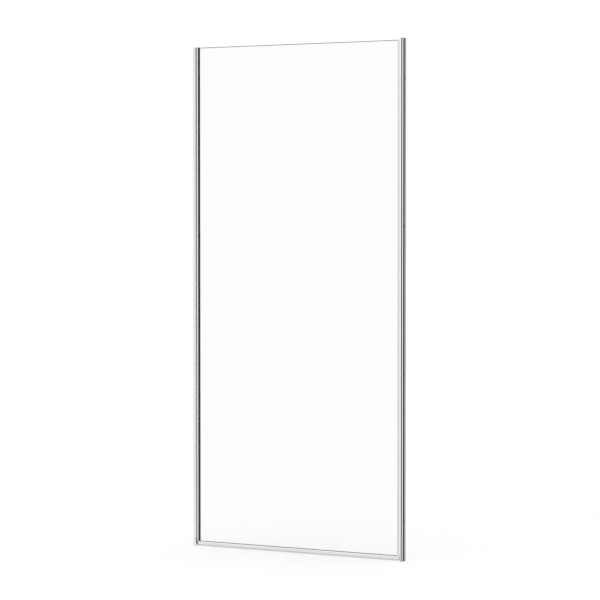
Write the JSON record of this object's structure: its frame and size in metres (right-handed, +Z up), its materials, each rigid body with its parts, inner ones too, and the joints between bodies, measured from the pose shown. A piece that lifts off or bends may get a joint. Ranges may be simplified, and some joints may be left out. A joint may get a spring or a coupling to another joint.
{
  "type": "niche shower door",
  "caption": "Niche shower door: a clear glass leaf on a round hinge barrel swings out from a wall profile, closes on a magnetic strike profile and seals over a bottom drip rail.",
  "frame": {"origin": "on the floor, in the middle of the niche, on the middle plane of the glass", "axes": "+X from the hinge wall to the strike wall, +Y from the room into the shower, +Z up"},
  "size_m": [0.9, 0.0466, 1.95],
  "materials": {
    "profile_metal": "bright polished anodised extrusion",
    "pivot_metal": "polished chrome plating",
    "steel": "turned stainless steel",
    "clear_glass": "clear tempered glass with ground edges",
    "dark_rubber": "matt black gasket rubber",
    "strip_rubber": "matt dark grey glazing strip",
    "grey_seal": "soft frosted grey seal",
    "magnet": "flexible magnet strip",
    "bush_plastic": "white acetal",
    "cap_plastic": "moulded silver-grey cap"
  },
  "bodies": {
    "frame": {"hinge_wall_profile": "profile_metal", "rebate_seal": "grey_seal", "top_pivot_plate": "pivot_metal", "pivot_foot": "pivot_metal", "foot_cap": "pivot_metal", "bottom_pivot_pin": "steel", "top_pivot_pin": "steel", "port_screws": "steel", "strike_wall_profile": "profile_metal", "strike_profile": "profile_metal", "strike_magnet_strip": "grey_seal", "strike_magnet": "magnet", "strike_top_cap": "cap_plastic", "strike_bottom_cap": "cap_plastic", "strike_lock_screws": "steel"},
    "leaf": {"glass_panel": "clear_glass", "leaf_stile": "profile_metal", "stile_gasket_front": "dark_rubber", "stile_gasket_back": "dark_rubber", "glass_edge_packers": "bush_plastic", "bottom_pivot_bush": "bush_plastic", "top_pivot_bush": "bush_plastic", "bottom_rail": "profile_metal", "rail_glazing_strip": "strip_rubber", "drip_seal": "grey_seal", "rail_cap_hinge_side": "dark_rubber", "rail_cap_strike_side": "cap_plastic", "edge_magnet_seal": "grey_seal", "edge_magnet": "magnet"}
  },
  "joints": [
    {"name": "leaf_swing", "type": "hinge", "parent": "frame", "child": "leaf", "pos_m": [-0.4416, 0, 0], "axis": [0, 0, -1], "range_deg": [0, 90]}
  ]
}
